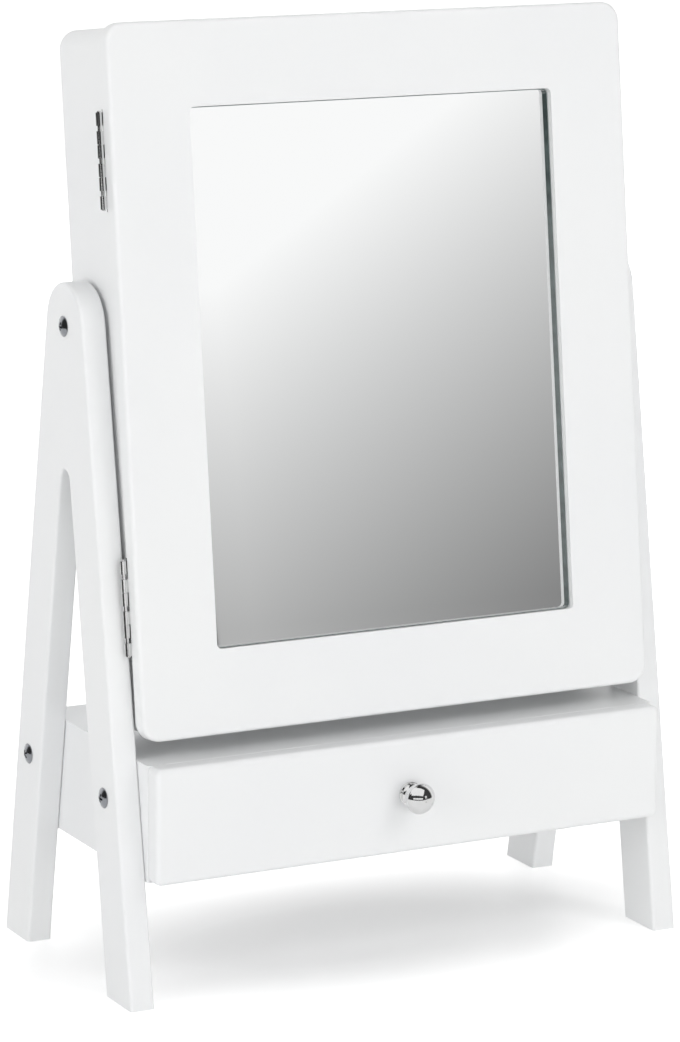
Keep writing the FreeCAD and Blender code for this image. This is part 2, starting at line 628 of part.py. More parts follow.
def ring_rolls():
    """Five padded rolls stacked on the shelf against the lining."""
    y = LINING_Y - ROLL_RADIUS - ROLL_GAP / 2
    rolls = []
    for i in range(ROLL_COUNT):
        z = SHELF_TOP + ROLL_GAP / 2 + ROLL_RADIUS + i * (2 * ROLL_RADIUS + ROLL_GAP)
        roll = rod(ROLL_RADIUS, ROLL_LENGTH, (SIDE_FITTING_X - ROLL_LENGTH / 2, y, z), (1, 0, 0))
        rolls.append(roll.makeFillet(ROLL_RADIUS / 4, [e for e in roll.Edges if e.Closed]))
    return group(rolls)


def bar_posts(z):
    ends = (SIDE_FITTING_X - BAR_LENGTH / 2 + 6, SIDE_FITTING_X + BAR_LENGTH / 2 - 6)
    return [rod(POST_RADIUS, BAR_STANDOFF, (x, LINING_Y - BAR_STANDOFF, z + BAR_HEIGHT / 2),
                (0, 1, 0)) for x in ends]


def earring_bars():
    """Two slotted bars on posts: earrings hang in the slots."""
    face = LINING_Y - BAR_STANDOFF
    x0 = SIDE_FITTING_X - BAR_LENGTH / 2
    pitch = BAR_LENGTH / BAR_SLOTS
    bars = []
    for z in BAR_LEVELS:
        bar = block(x0, x0 + BAR_LENGTH, face - BAR_DEPTH, face, z, z + BAR_HEIGHT)
        for i in range(BAR_SLOTS):
            x = x0 + pitch * (i + 0.5)
            bar = bar.cut(block(x - BAR_SLOT_WIDTH / 2, x + BAR_SLOT_WIDTH / 2, face - BAR_DEPTH,
                                face, z + BAR_HEIGHT - BAR_SLOT_DEPTH, z + BAR_HEIGHT))
        for post in bar_posts(z):
            bar = bar.fuse(post)
        bars.append(bar)
    return group(bars)


# ---- butt hinges --------------------------------------------------------------------------
def knuckle_spans(middle):
    """(low, high) of each knuckle from the top down; the door's are the odd-numbered ones."""
    spans = []
    top = middle + BARREL_LENGTH / 2
    for i in range(KNUCKLES):
        spans.append((top - KNUCKLE_LENGTH, top))
        top -= KNUCKLE_LENGTH + (KNUCKLE_PLAY if i % 2 == 0 else KNUCKLE_REST)
    return spans


def leaf_box(middle, face, into, x0, x1, z0, z1):
    """Part of a leaf's plate: face is the board's face, into is +1 back or -1 forward."""
    y0, y1 = sorted((face, face + into * LEAF_THICKNESS))
    return block(x0, x1, y0, y1, z0, z1)


def leaf_pocket(middle, face, into):
    """The shallow recess that a leaf lies in."""
    return leaf_box(middle, face, into, AXIS_X, AXIS_X + LEAF_REACH, middle - LEAF_HEIGHT / 2,
                    middle + LEAF_HEIGHT / 2)


def leaf_screw_places(middle):
    x = AXIS_X + LEAF_SCREW_INSET
    return [(x, middle - LEAF_SCREW_SPACING / 2), (x, middle + LEAF_SCREW_SPACING / 2)]


def leaf_screw(x, z, face, into, spare=0.0):
    """A countersunk screw, flush with the leaf; spare makes it the hole that takes it."""
    taper = LEAF_SCREW_HEAD - LEAF_SCREW_RADIUS
    head = cone(LEAF_SCREW_HEAD + spare, LEAF_SCREW_RADIUS + spare, taper, (x, face, z),
                (0, into, 0))
    shank = rod(LEAF_SCREW_RADIUS + spare, LEAF_SCREW_LENGTH + spare, (x, face, z), (0, into, 0))
    return head.fuse(shank)


def leaf_screw_holes(middle, face, into):
    return [leaf_screw(x, z, face, into, FIT) for x, z in leaf_screw_places(middle)]


def hinge_leaf(middle, face, into, own):
    """A leaf whose plate runs out to its own rolled knuckles and stops short of the others."""
    plate_edge = AXIS_X + BARREL_RADIUS + KNUCKLE_REST
    far = AXIS_X + LEAF_REACH
    leaf = leaf_box(middle, face, into, plate_edge, far, middle - LEAF_HEIGHT / 2,
                    middle + LEAF_HEIGHT / 2)
    for i, (low, high) in enumerate(knuckle_spans(middle)):
        if i % 2 == own:
            leaf = leaf.fuse(leaf_box(middle, face, into, AXIS_X, plate_edge, low, high))
            leaf = leaf.fuse(rod(BARREL_RADIUS, high - low, (AXIS_X, AXIS_Y, low), (0, 0, 1)))
    bore = rod(PIN_RADIUS + PIN_CLEARANCE, LEAF_HEIGHT, (AXIS_X, AXIS_Y, middle - LEAF_HEIGHT / 2),
               (0, 0, 1))
    return cut_all(leaf, [bore] + leaf_screw_holes(middle, face, into))


def hinge_leaves(face, into, own):
    return group([hinge_leaf(middle, face, into, own) for middle in HINGE_LEVELS])


def leaf_screws(face, into):
    return group([leaf_screw(x, z, face, into) for middle in HINGE_LEVELS
                  for x, z in leaf_screw_places(middle)])


def hinge_pins():
    length = BARREL_LENGTH + 2 * PIN_OVERRUN
    pins = []
    for middle in HINGE_LEVELS:
        pin = rod(PIN_RADIUS, length, (AXIS_X, AXIS_Y, middle - length / 2), (0, 0, 1))
        pins.append(pin.makeFillet(PIN_RADIUS / 2, [e for e in pin.Edges if e.Closed]))
    return group(pins)


# ---- door ---------------------------------------------------------------------------------
def door_panel():
    board = plate(-DOOR_HALF, DOOR_HALF, -BELOW_PIVOT, ABOVE_PIVOT, DOOR_CORNER, DOOR_FACE_Y,
                  DOOR_BACK_Y)
    board = ease(board, DOOR_EASE, level("y", DOOR_FACE_Y))
    board = ease(board, DOOR_BACK_EASE, level("y", DOOR_BACK_Y))
    pocket = plate(-POCKET_HALF, POCKET_HALF, POCKET_LOW, POCKET_TOP, MIRROR_CORNER,
                   DOOR_FACE_Y, POCKET_FLOOR_Y)
    strike = rod(STRIKE_RADIUS + FIT, STRIKE_THICKNESS, (CATCH_X, DOOR_BACK_Y, DOOR_MIDDLE),
                 (0, -1, 0))
    tools = [pocket, strike]
    for middle in HINGE_LEVELS:
        tools.append(leaf_pocket(middle, DOOR_BACK_Y, -1))
        tools += leaf_screw_holes(middle, DOOR_BACK_Y, -1)
    return cut_all(board, tools)


def mirror_glass():
    half = POCKET_HALF - GLASS_GAP
    back = POCKET_FLOOR_Y - TAPE_THICKNESS
    glass = plate(-half, half, POCKET_LOW + GLASS_GAP, POCKET_TOP - GLASS_GAP, MIRROR_CORNER,
                  back - GLASS_THICKNESS, back)
    front = [e for e in glass.Edges if all(level("y", back - GLASS_THICKNESS)(v.Point)
                                           for v in e.Vertexes)]
    return glass.makeChamfer(GLASS_ARRIS, front)


def mirror_tape():
    """Adhesive foam strips between the glass and the floor of its pocket."""
    pitch = (POCKET_TOP - POCKET_LOW) / TAPE_STRIPS
    half = POCKET_HALF - TAPE_WIDTH
    strips = []
    for i in range(TAPE_STRIPS):
        z = POCKET_LOW + pitch * (i + 0.5)
        strips.append(block(-half, half, POCKET_FLOOR_Y - TAPE_THICKNESS, POCKET_FLOOR_Y,
                            z - TAPE_WIDTH / 2, z + TAPE_WIDTH / 2))
    return group(strips)


def strike_plate():
    return rod(STRIKE_RADIUS, STRIKE_THICKNESS, (CATCH_X, DOOR_BACK_Y, DOOR_MIDDLE), (0, -1, 0))


# ---- build --------------------------------------------------------------------------------
def build():
    os.makedirs("parts", exist_ok=True)
    leg = left_leg()
    side = unit_side()
    drawer_board = drawer_side()
    stand = {"left_leg_frame": leg, "right_leg_frame": mirrored(leg),
             "unit_screws": unit_screws(), "pivot_screws": pivot_screws(),
             "pivot_washers": pivot_washers(),
             "unit_left_side": side, "unit_right_side": mirrored(side),
             "unit_top": unit_top(), "unit_floor": unit_floor(), "unit_back": unit_back(),
             "drawer_front": drawer_front(), "drawer_left_side": drawer_board,
             "drawer_right_side": mirrored(drawer_board), "drawer_back": drawer_back(),
             "drawer_floor": drawer_floor(), "drawer_lining": drawer_lining(),
             "knob": knob(), "knob_rosette": knob_rosette(), "knob_screw": knob_screw()}
    ring = cabinet_ring()
    hung = {"cabinet_" + side_name: mitred(ring, side_name)
            for side_name in ("top", "bottom", "left", "right")}
    hung.update({"cabinet_back": cabinet_back(), "cabinet_lining": cabinet_lining(),
                 "pivot_inserts": pivot_inserts(), "catch_magnet": catch_magnet(),
                 "hook_rail": hook_rail(), "necklace_hooks": necklace_hooks(),
                 "cabinet_shelf": cabinet_shelf(), "shelf_guard": shelf_guard(),
                 "ring_rolls": ring_rolls(), "earring_bars": earring_bars(),
                 "cabinet_hinge_leaves": hinge_leaves(-CABINET_FRONT, 1, 0),
                 "cabinet_hinge_screws": leaf_screws(-CABINET_FRONT, 1),
                 "hinge_pins": hinge_pins(),
                 "door_panel": door_panel(), "mirror_glass": mirror_glass(),
                 "mirror_tape": mirror_tape(), "strike_plate": strike_plate(),
                 "door_hinge_leaves": hinge_leaves(DOOR_BACK_Y, -1, 1),
                 "door_hinge_screws": leaf_screws(DOOR_BACK_Y, -1)})
    for node, shape in stand.items():
        save(node, place(shape))
    for node, shape in hung.items():
        save(node, lean(shape))


build()
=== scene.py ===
"""The jewelry mirror cabinet's looks: camera, studio and materials, and the pieces that need
more form than the CAD gives them."""
import json
import math
import random

import bmesh
import bpy
from mathutils import Matrix, Vector


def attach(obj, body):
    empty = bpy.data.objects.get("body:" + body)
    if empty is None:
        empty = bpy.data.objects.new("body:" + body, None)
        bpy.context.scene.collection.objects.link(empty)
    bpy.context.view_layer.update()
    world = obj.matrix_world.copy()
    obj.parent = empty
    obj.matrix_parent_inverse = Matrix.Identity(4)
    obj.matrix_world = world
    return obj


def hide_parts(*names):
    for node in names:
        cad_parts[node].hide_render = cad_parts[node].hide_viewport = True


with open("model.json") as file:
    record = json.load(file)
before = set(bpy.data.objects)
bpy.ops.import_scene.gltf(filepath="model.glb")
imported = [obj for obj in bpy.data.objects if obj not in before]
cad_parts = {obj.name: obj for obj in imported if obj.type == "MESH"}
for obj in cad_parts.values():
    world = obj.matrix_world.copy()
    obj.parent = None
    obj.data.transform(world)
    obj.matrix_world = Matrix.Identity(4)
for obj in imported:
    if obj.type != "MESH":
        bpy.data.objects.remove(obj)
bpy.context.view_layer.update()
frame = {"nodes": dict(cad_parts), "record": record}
nodes = frame["nodes"]
random.seed(4)

# ---- places, in the CAD's millimetres ------------------------------------------------------
LEAN = math.radians(7.21259)           # of the cabinet, backwards, at rest
SHIFT, PIVOT_HEIGHT = 8.9, 318.5       # the pivots' place along Y and Z


def stood(x, y, z):
    """A point about the stand's middle, in metres where it stands."""
    return Vector((x, y + SHIFT, z)) / 1000


def hung(x, u, w):
    """A point of the cabinet's upright frame about the pivot, in metres where it hangs."""
    return Vector((x, u * math.cos(LEAN) + w * math.sin(LEAN) + SHIFT,
                   w * math.cos(LEAN) - u * math.sin(LEAN) + PIVOT_HEIGHT)) / 1000


# ---- camera ------------------------------------------------------------------------------
AZIMUTH, ELEVATION, ROLL = (math.radians(a) for a in (27.784, 12.278, 0.559))
DISTANCE = 2.17175
TARGET = Vector((0.001975, 0.017717, 0.208153))
FOCAL_PX, IMAGE_HEIGHT_PX = 4369.77, 1042
SENSOR_MM = 36


def add_camera():
    forward = Vector((math.sin(AZIMUTH) * math.cos(ELEVATION),
                      math.cos(AZIMUTH) * math.cos(ELEVATION), -math.sin(ELEVATION)))
    level = Vector((math.cos(AZIMUTH), -math.sin(AZIMUTH), 0))
    upright = level.cross(forward)
    right = level * math.cos(ROLL) + upright * math.sin(ROLL)
    up = upright * math.cos(ROLL) - level * math.sin(ROLL)
    data = bpy.data.cameras.new("camera")
    data.sensor_fit = "VERTICAL"
    data.sensor_height = SENSOR_MM
    data.lens = SENSOR_MM * FOCAL_PX / IMAGE_HEIGHT_PX
    data.clip_end = 50
    camera = bpy.data.objects.new("camera", data)
    camera.matrix_world = Matrix.Translation(TARGET - forward * DISTANCE) @ Matrix(
        (right, up, -forward)).transposed().to_4x4()
    bpy.context.scene.collection.objects.link(camera)
    bpy.context.scene.camera = camera


# ---- node trees --------------------------------------------------------------------------
def fill_ramp(node, stops):
    """Set a colour ramp's stops from (position, colour) pairs."""
    elements = node.color_ramp.elements
    while len(elements) < len(stops):
        elements.new(0.5)
    for element, (position, colour) in zip(elements, stops):
        element.position = position
        element.color = (*colour, 1)


class Nodes:
    """A short way to write a material's node tree."""

    def __init__(self, name):
        self.material = bpy.data.materials.new(name)
        self.material.use_nodes = True
        self.tree = self.material.node_tree
        self.tree.nodes.clear()
        self.out = self.add("ShaderNodeOutputMaterial")
        self.shader = self.add("ShaderNodeBsdfPrincipled")
        self.link(self.shader.outputs[0], self.out.inputs[0])
        self.coords = self.add("ShaderNodeTexCoord").outputs["Object"]

    def add(self, kind, **props):
        node = self.tree.nodes.new(kind)
        for key, value in props.items():
            setattr(node, key, value)
        return node

    def link(self, source, target):
        self.tree.links.new(source, target)

    def set(self, **values):
        """Plain values of the shader's own sockets."""
        for key, value in values.items():
            name = key.replace("_", " ").title().replace("Ior", "IOR")
            self.shader.inputs[name].default_value = value

    def noise(self, scale, detail, stretch=None):
        vector = self.coords
        if stretch:
            mapping = self.add("ShaderNodeMapping")
            mapping.inputs["Scale"].default_value = stretch
            self.link(self.coords, mapping.inputs["Vector"])
            vector = mapping.outputs[0]
        node = self.add("ShaderNodeTexNoise")
        node.inputs["Scale"].default_value = scale
        node.inputs["Detail"].default_value = detail
        self.link(vector, node.inputs["Vector"])
        return node.outputs["Fac"]

    def grey(self, factor, low, high):
        node = self.add("ShaderNodeMapRange")
        node.inputs["To Min"].default_value = low
        node.inputs["To Max"].default_value = high
        self.link(factor, node.inputs["Value"])
        return node.outputs["Result"]

    def surface(self, tone, shades, grain, roughness, spread=(0.3, 0.7)):
        """Base colour between two shades and roughness between two values. tone and grain are
        each a noise's scale and detail; spread is where in its noise each shade is reached."""
        ramp = self.add("ShaderNodeValToRGB")
        fill_ramp(ramp, list(zip(spread, shades)))
        self.link(self.noise(*tone), ramp.inputs["Fac"])
        self.link(ramp.outputs["Color"], self.shader.inputs["Base Color"])
        self.link(self.grey(self.noise(*grain), *roughness), self.shader.inputs["Roughness"])

    def bump(self, height, strength, distance, under=None):
        """Bump on the shader, on top of an earlier bump where one is given."""
        node = self.add("ShaderNodeBump")
        node.inputs["Strength"].default_value = strength
        node.inputs["Distance"].default_value = distance
        self.link(height, node.inputs["Height"])
        if under:
            self.link(under, node.inputs["Normal"])
        self.link(node.outputs[0], self.shader.inputs["Normal"])
        return node.outputs[0]


# ---- materials ---------------------------------------------------------------------------
def srgb(r, g, b):
    """Levels from 0 to 255 as linear values."""
    return tuple(((c / 255) / 12.92 if c <= 10 else ((c / 255 + 0.055) / 1.055) ** 2.4)
                 for c in (r, g, b))


def white_paint():
    """Sprayed satin lacquer on board: faint orange peel and a little variation in its white."""
    m = Nodes("white_paint")
    m.surface((7, 2), (srgb(239, 240, 241), srgb(242, 243, 243)), (26, 3), (0.34, 0.46))
    peel = m.bump(m.noise(420, 2), 0.08, 0.0004)
    m.bump(m.noise(60, 2), 0.05, 0.0008, peel)
    m.set(coat_weight=0.15, coat_roughness=0.22)
    return m.material


def chrome(name, base, low, high):
    """Plain or plated metal: fine cloudiness in the polish."""
    m = Nodes(name)
    m.surface((90, 2), (base, tuple(c * 1.06 for c in base)), (300, 3), (low, high))
    m.bump(m.noise(900, 2), 0.03, 0.0002)
    m.set(metallic=1.0)
    return m.material


def mirror_face():
    """Silvering behind clean glass."""
    m = Nodes("mirror_silver")
    m.surface((5, 2), ((0.93, 0.94, 0.94), (0.945, 0.95, 0.95)), (30, 3), (0.012, 0.022))
    m.set(metallic=1.0)
    return m.material


def glass_edge(name, dark, light, low, high):
    """The ground edge of float glass, in its own dark tint; given light tints it is a painted
    reflection on the polished front arris.
    """
    m = Nodes(name)
    m.surface((160, 3), (dark, light), (500, 2), (low, high))
    m.bump(m.noise(1500, 2), 0.08, 0.0002)
    m.set(coat_weight=0.5, coat_roughness=0.05)
    return m.material


def velvet():
    """Flocked lining: short pile that catches light at grazing angles."""
    m = Nodes("velvet")
    pile = (1400, 3)
    m.surface((18, 3), (srgb(206, 199, 187), srgb(213, 206, 195)), pile, (0.85, 1.0))
    brushed = m.bump(m.noise(40, 3, stretch=(1, 1, 0.4)), 0.15, 0.001)
    m.bump(m.noise(*pile), 0.35, 0.0005, brushed)
    m.set(sheen_weight=0.6, sheen_roughness=0.4)
    return m.material


def foam():
    """Black foam tape."""
    m = Nodes("foam")
    m.surface((300, 3), ((0.02, 0.02, 0.02), (0.05, 0.05, 0.05)), (600, 2), (0.8, 0.95),
              spread=(0.35, 0.65))
    m.bump(m.noise(900, 3), 0.4, 0.0006)
    return m.material


def nylon():
    """Washers of natural nylon."""
    m = Nodes("nylon")
    m.surface((80, 2), (srgb(226, 226, 221), srgb(236, 236, 232)), (200, 2), (0.4, 0.55))
    return m.material


# ---- studio ------------------------------------------------------------------------------
FLOOR = 9.0                              # half the floor's width
FLOOR_LIFT = (0.03, 0.14, 0.0, 0.62)     # metres from the middle, then the lift there; less lift near the middle paints shade round the object
FLOOR_OVAL = (0.5, 1, 1)                 # the lifted area is twice as wide as it is deep
POLISHED_LIFT = 0.25                     # the share of the lift that polished metal sees
TABLE_X, TABLE_BACK = (-1.2, 1.5), 1.6   # the part of the floor that polished metal sees
TABLE_FRONT = (-0.5, -2.0)               # its front edge, at the left and at the right
WORLD_LIGHT = 0.56
ROOM_AXIS = (-0.466, -0.885, 0)          # towards the dim room that polished metal sees
ROOM = ((-1, 1.0), (-0.45, 1.0), (-0.2, 0.05), (1, 0.05))   # cosine from that axis, level
LAMP_AIM = (0, 0, 0.22)
LAMPS = (("key", (1.2, -2.0, 2.0), (1.0, 0.8), 12),         # name, place, size, watts
         ("fill", (0.0, -2.6, 0.35), (2.6, 0.6), 17),
         ("side", (-2.6, -0.7, 0.8), (1.6, 1.4), 20),
         ("back", (0.3, 2.4, 0.9), (2.4, 1.4), 18))
CARD_X, CARD_Z = (0.63, 0.985), (0.155, 0.61)   # the part of the card that the mirror shows
CARD_Y, CARD_EDGE = -1.5, 0.035                 # its place along Y, and how far it goes on
CARD_LEVELS = (130 / 255, 53 / 255, 113 / 255)  # at its dark corner, added sideways, added upwards
KNOB_PLACE = Vector((0, -0.06, 0.09))
# each card's name, azimuth, elevation and distance from the knob, width and height
KNOB_CARDS = (("window", -34, 56, 2.4, 4.2, 2.5), ("strip", -28, 6.5, 2.2, 2.8, 0.4))


def stage_plane(name, corners, material):
    mesh = bpy.data.meshes.new(name)
    mesh.from_pydata(corners, [], [(0, 1, 2, 3)])
    mesh.materials.append(material)
    plane = bpy.data.objects.new(name, mesh)
    bpy.context.scene.collection.objects.link(plane)
    return plane


def floor_paper():
    """White paper that the camera, and less so polished metal, sees lifted to the background's
    white away from the object. The lift is a glow that fades out towards the object's middle,
    which paints shade around it on top of its real shadow."""
    m = Nodes("floor_paper")
    m.surface((3, 2), ((0.93, 0.93, 0.93), (0.95, 0.95, 0.95)), (9, 2), (0.3, 0.4))
    m.set(specular_ior_level=0.12)
    path = m.add("ShaderNodeLightPath")
    polished = m.add("ShaderNodeMath", operation="MULTIPLY")
    polished.inputs[1].default_value = POLISHED_LIFT
    m.link(path.outputs["Is Glossy Ray"], polished.inputs[0])
    seen = m.add("ShaderNodeMath", operation="MAXIMUM")
    m.link(path.outputs["Is Camera Ray"], seen.inputs[0])
    m.link(polished.outputs[0], seen.inputs[1])
    oval = m.add("ShaderNodeVectorMath", operation="MULTIPLY")
    oval.inputs[1].default_value = FLOOR_OVAL
    m.link(m.coords, oval.inputs[0])
    distance = m.add("ShaderNodeVectorMath", operation="LENGTH")
    m.link(oval.outputs[0], distance.inputs[0])
    # Painted shade: no glow near the object's middle and full glow away from it, so the floor
    # around the object is darker
    far = m.add("ShaderNodeMapRange", interpolation_type="SMOOTHSTEP")
    for socket, value in zip(("From Min", "From Max", "To Min", "To Max"), FLOOR_LIFT):
        far.inputs[socket].default_value = value
    m.link(distance.outputs["Value"], far.inputs["Value"])
    lift = m.add("ShaderNodeMath", operation="MULTIPLY")
    m.link(seen.outputs[0], lift.inputs[0])
    m.link(far.outputs["Result"], lift.inputs[1])
    glow = m.add("ShaderNodeEmission")
    m.link(lift.outputs[0], glow.inputs["Strength"])
    both = m.add("ShaderNodeAddShader")
    m.link(m.shader.outputs[0], both.inputs[0])
    m.link(glow.outputs[0], both.inputs[1])
    m.link(both.outputs[0], m.out.inputs[0])
    return m.material


def studio_world():
    """White behind the object, plain light all round, and for metal a dim room in front."""
    world = bpy.data.worlds.new("world")
    bpy.context.scene.world = world
    world.use_nodes = True
    tree = world.node_tree
    tree.nodes.clear()

    def add(kind, **props):
        node = tree.nodes.new(kind)
        for key, value in props.items():
            setattr(node, key, value)
        return node

    def background(strength):
        node = add("ShaderNodeBackground")
        node.inputs["Color"].default_value = (1, 1, 1, 1)
        node.inputs["Strength"].default_value = strength
        return node

    def either(factor, without, within):
        node = add("ShaderNodeMixShader")
        for socket, source in zip(node.inputs, (factor, without, within)):
            tree.links.new(source, socket)
        return node.outputs[0]

    direction = add("ShaderNodeTexCoord").outputs["Generated"]
    toward = add("ShaderNodeVectorMath", operation="DOT_PRODUCT")
    toward.inputs[1].default_value = ROOM_AXIS
    tree.links.new(direction, toward.inputs[0])
    spread = add("ShaderNodeMapRange")
    spread.inputs["From Min"].default_value = -1
    tree.links.new(toward.outputs["Value"], spread.inputs["Value"])
    ramp = add("ShaderNodeValToRGB")
    fill_ramp(ramp, [((cosine + 1) / 2, (level,) * 3) for cosine, level in ROOM])
    tree.links.new(spread.outputs["Result"], ramp.inputs["Fac"])
    room = background(1.0)
    tree.links.new(ramp.outputs["Color"], room.inputs["Strength"])

    path = add("ShaderNodeLightPath")
    unseen = either(path.outputs["Is Glossy Ray"], background(WORLD_LIGHT).outputs[0],
                    room.outputs[0])
    shown = either(path.outputs["Is Camera Ray"], unseen, background(1.0).outputs[0])
    tree.links.new(shown, add("ShaderNodeOutputWorld").inputs["Surface"])


def studio():
    """The floor, of which polished metal sees only the table-like middle, and the world."""
    paper = floor_paper()
    (x0, x1), (front0, front1), back, far = TABLE_X, TABLE_FRONT, TABLE_BACK, FLOOR
    stage_plane("floor", [(x0, front0, 0), (x1, front1, 0), (x1, back, 0), (x0, back, 0)], paper)
    around = {"floor_front": ((x0, -far), (x1, -far), (x1, front1), (x0, front0)),
              "floor_back": ((x0, back), (x1, back), (x1, far), (x0, far)),
              "floor_left": ((-far, -far), (x0, -far), (x0, far), (-far, far)),
              "floor_right": ((x1, -far), (far, -far), (far, far), (x1, far))}
    for name, corners in around.items():
        sheet = stage_plane(name, [(x, y, 0) for x, y in corners], paper)
        sheet.visible_glossy = False
    studio_world()


def lamps():
    """Soft boxes that light the object but don't show in polished metal."""
    for name, place, size, watts in LAMPS:
        data = bpy.data.lights.new(name, "AREA")
        data.shape = "RECTANGLE"
        data.size, data.size_y = size
        data.energy = watts
        lamp = bpy.data.objects.new(name, data)
        lamp.location = place
        aim = Vector(LAMP_AIM) - Vector(place)
        lamp.rotation_euler = aim.to_track_quat("-Z", "Y").to_euler()
        lamp.visible_glossy = False
        bpy.context.scene.collection.objects.link(lamp)


def glossy_card(name, corners, level, m):
    """A glowing card that only polished surfaces see."""
    glow = m.add("ShaderNodeEmission")
    m.link(level, glow.inputs["Strength"])
    m.link(glow.outputs[0], m.out.inputs[0])
    card = stage_plane(name, corners, m.material)
    card.visible_camera = False
    card.visible_diffuse = False
    card.visible_shadow = False
    card.visible_transmission = False


def facing_card(name, azimuth, elevation, distance, width, height):
    """A white card square to the knob, at these angles from it."""
    az, el = math.radians(azimuth), math.radians(elevation)
    away = Vector((math.sin(az) * math.cos(el), -math.cos(az) * math.cos(el), math.sin(el)))
    across = Vector((math.cos(az), math.sin(az), 0))
    up = away.cross(across)
    up *= math.copysign(1, up.z)
    centre = KNOB_PLACE + away * distance
    m = Nodes(name)
    glossy_card(name, [centre + across * width * i / 2 + up * height * j / 2
                       for i, j in ((-1, -1), (1, -1), (1, 1), (-1, 1))],
                m.grey(m.noise(1.5, 2), 0.94, 1.0), m)


def mirror_card():
    """The card that the mirror shows, from grey to white, upwards and sideways."""
    m = Nodes("card")
    place = m.add("ShaderNodeSeparateXYZ")
    m.link(m.coords, place.inputs[0])

    def part(axis, start, end):
        node = m.add("ShaderNodeMapRange")
        node.inputs["From Min"].default_value = start
        node.inputs["From Max"].default_value = end
        m.link(place.outputs[axis], node.inputs["Value"])
        return node.outputs["Result"]

    def combine(operation, source, *values):
        node = m.add("ShaderNodeMath", operation=operation)
        m.link(source, node.inputs[0])
        for socket, value in zip(node.inputs[1:], values):
            if isinstance(value, float):
                socket.default_value = value
            else:
                m.link(value, socket)
        return node.outputs[0]

    dark, sideways, upwards = CARD_LEVELS
    near = combine("MULTIPLY_ADD", part("X", *reversed(CARD_X)), sideways, dark)
    high = combine("MULTIPLY_ADD", part("Z", *CARD_Z), upwards, near)
    offset = combine("MULTIPLY_ADD", combine("MINIMUM", high, 1.0), 1 / 1.055, 0.055 / 1.055)
    (x0, x1), (z0, z1), edge = CARD_X, CARD_Z, CARD_EDGE
    glossy_card("card", [(x0 - edge, CARD_Y, z0 - edge), (x1 + edge, CARD_Y, z0 - edge),
                         (x1 + edge, CARD_Y, z1 + edge), (x0 - edge, CARD_Y, z1 + edge)],
                combine("POWER", offset, 2.4), m)


# ---- pieces ------------------------------------------------------------------------------
def piece(name, points, faces, materials, body, shades=None, smooth=True):
    """An object from points and faces. shades says which material each face takes."""
    mesh = bpy.data.meshes.new(name)
    mesh.from_pydata(points, [], faces)
    for material in materials:
        mesh.materials.append(material)
    for polygon, shade in zip(mesh.polygons, shades or [0] * len(faces)):
        polygon.material_index = shade
        polygon.use_smooth = smooth
    mesh.update()
    made = bpy.data.objects.new(name, mesh)
    bpy.context.scene.collection.objects.link(made)
    if body:
        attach(made, body)
    return made


def rework(made, work):
    """Let a function change a piece's mesh through bmesh."""
    mesh = bmesh.new()
    mesh.from_mesh(made.data)
    work(mesh)
    mesh.to_mesh(made.data)
    mesh.free()


def tidy(mesh):
    """Merge doubles and turn every face outwards."""
    bmesh.ops.remove_doubles(mesh, verts=mesh.verts, dist=1e-7)
    bmesh.ops.recalc_face_normals(mesh, faces=mesh.faces)


def sharpen(mesh):
    """Smooth faces, with every edge of more than 30 degrees kept sharp."""
    for face in mesh.faces:
        face.smooth = True
    for edge in mesh.edges:
        edge.smooth = len(edge.link_faces) == 2 and edge.calc_face_angle(0) < math.radians(30)


def rounded_loop(x0, x1, w0, w1, radius, steps=5):
    """Points round a rectangle with rounded corners, anticlockwise."""
    corners = [(x1 - radius, w1 - radius, 0), (x0 + radius, w1 - radius, 90),
               (x0 + radius, w0 + radius, 180), (x1 - radius, w0 + radius, 270)]
    loop = []
    for cx, cw, start in corners:
        for i in range(steps + 1):
            turn = math.radians(start + 90 * i / steps)
            loop.append((cx + radius * math.cos(turn), cw + radius * math.sin(turn)))
    return loop


def mirror_pane(face_shade, back_shade):
    """Silvered glass as the eye sees it: the silver lies at about its apparent depth below the
    glass's front, inside the ground edge, and its front arris bears a painted reflection."""
    half, low, high, corner = 97.9, -156.2, 100.2, 2.2
    back, front, silver = -31.8, -34.8, -32.6
    bevel_depth, bevel, rim = 0.1, 0.08, 0.16
    rings = [(0.0, back), (0.0, front + bevel_depth), (bevel, front), (rim, front), (rim, silver)]
    points, faces, shades = [], [], []
    for inset, u in rings:
        loop = rounded_loop(inset - half, half - inset, low + inset, high - inset, corner - inset)
        points += [hung(x, u, w) for x, w in loop]
    n = len(points) // len(rings)
    face, edge, arris, backing = range(4)
    for k, shade in enumerate((edge, arris, arris, edge)):
        for i in range(n):
            j = (i + 1) % n
            faces.append((k * n + i, k * n + j, (k + 1) * n + j, (k + 1) * n + i))
            shades.append(shade)
    faces.append(tuple(range(n)))
    shades.append(backing)
    faces.append(tuple((len(rings) - 1) * n + i for i in reversed(range(n))))
    shades.append(face)
    edge_shade = glass_edge("glass_edge", srgb(58, 70, 70), srgb(86, 100, 99), 0.12, 0.25)
    # The arris's light cyan is a painted reflection in the glass's polished bevel, not a colour of
    # its own.
    arris_painted_reflection = glass_edge("glass_arris_painted_reflection", srgb(150, 170, 168), srgb(190, 206, 204), 0.1, 0.2)
    pane = piece("mirror_pane", points, faces,
                 [face_shade, edge_shade, arris_painted_reflection, back_shade], "door", shades, smooth=False)
    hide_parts("mirror_glass")


def lathe(profile, steps):
    """Turn (radius, height) pairs about Z."""
    points, faces, rows = [], [], []
    for radius, along in profile:
        if radius < 1e-6:                  # on the axis: one point
            rows.append([len(points)] * steps)
            points.append((0, 0, along))
        else:
            rows.append(list(range(len(points), len(points) + steps)))
            for i in range(steps):
                turn = 2 * math.pi * i / steps
                points.append((radius * math.cos(turn), radius * math.sin(turn), along))
    for lower, upper in zip(rows, rows[1:]):
        for i in range(steps):
            j = (i + 1) % steps
            face = [lower[i], lower[j], upper[j], upper[i]]
            faces.append(tuple(dict.fromkeys(face)))
    return points, faces


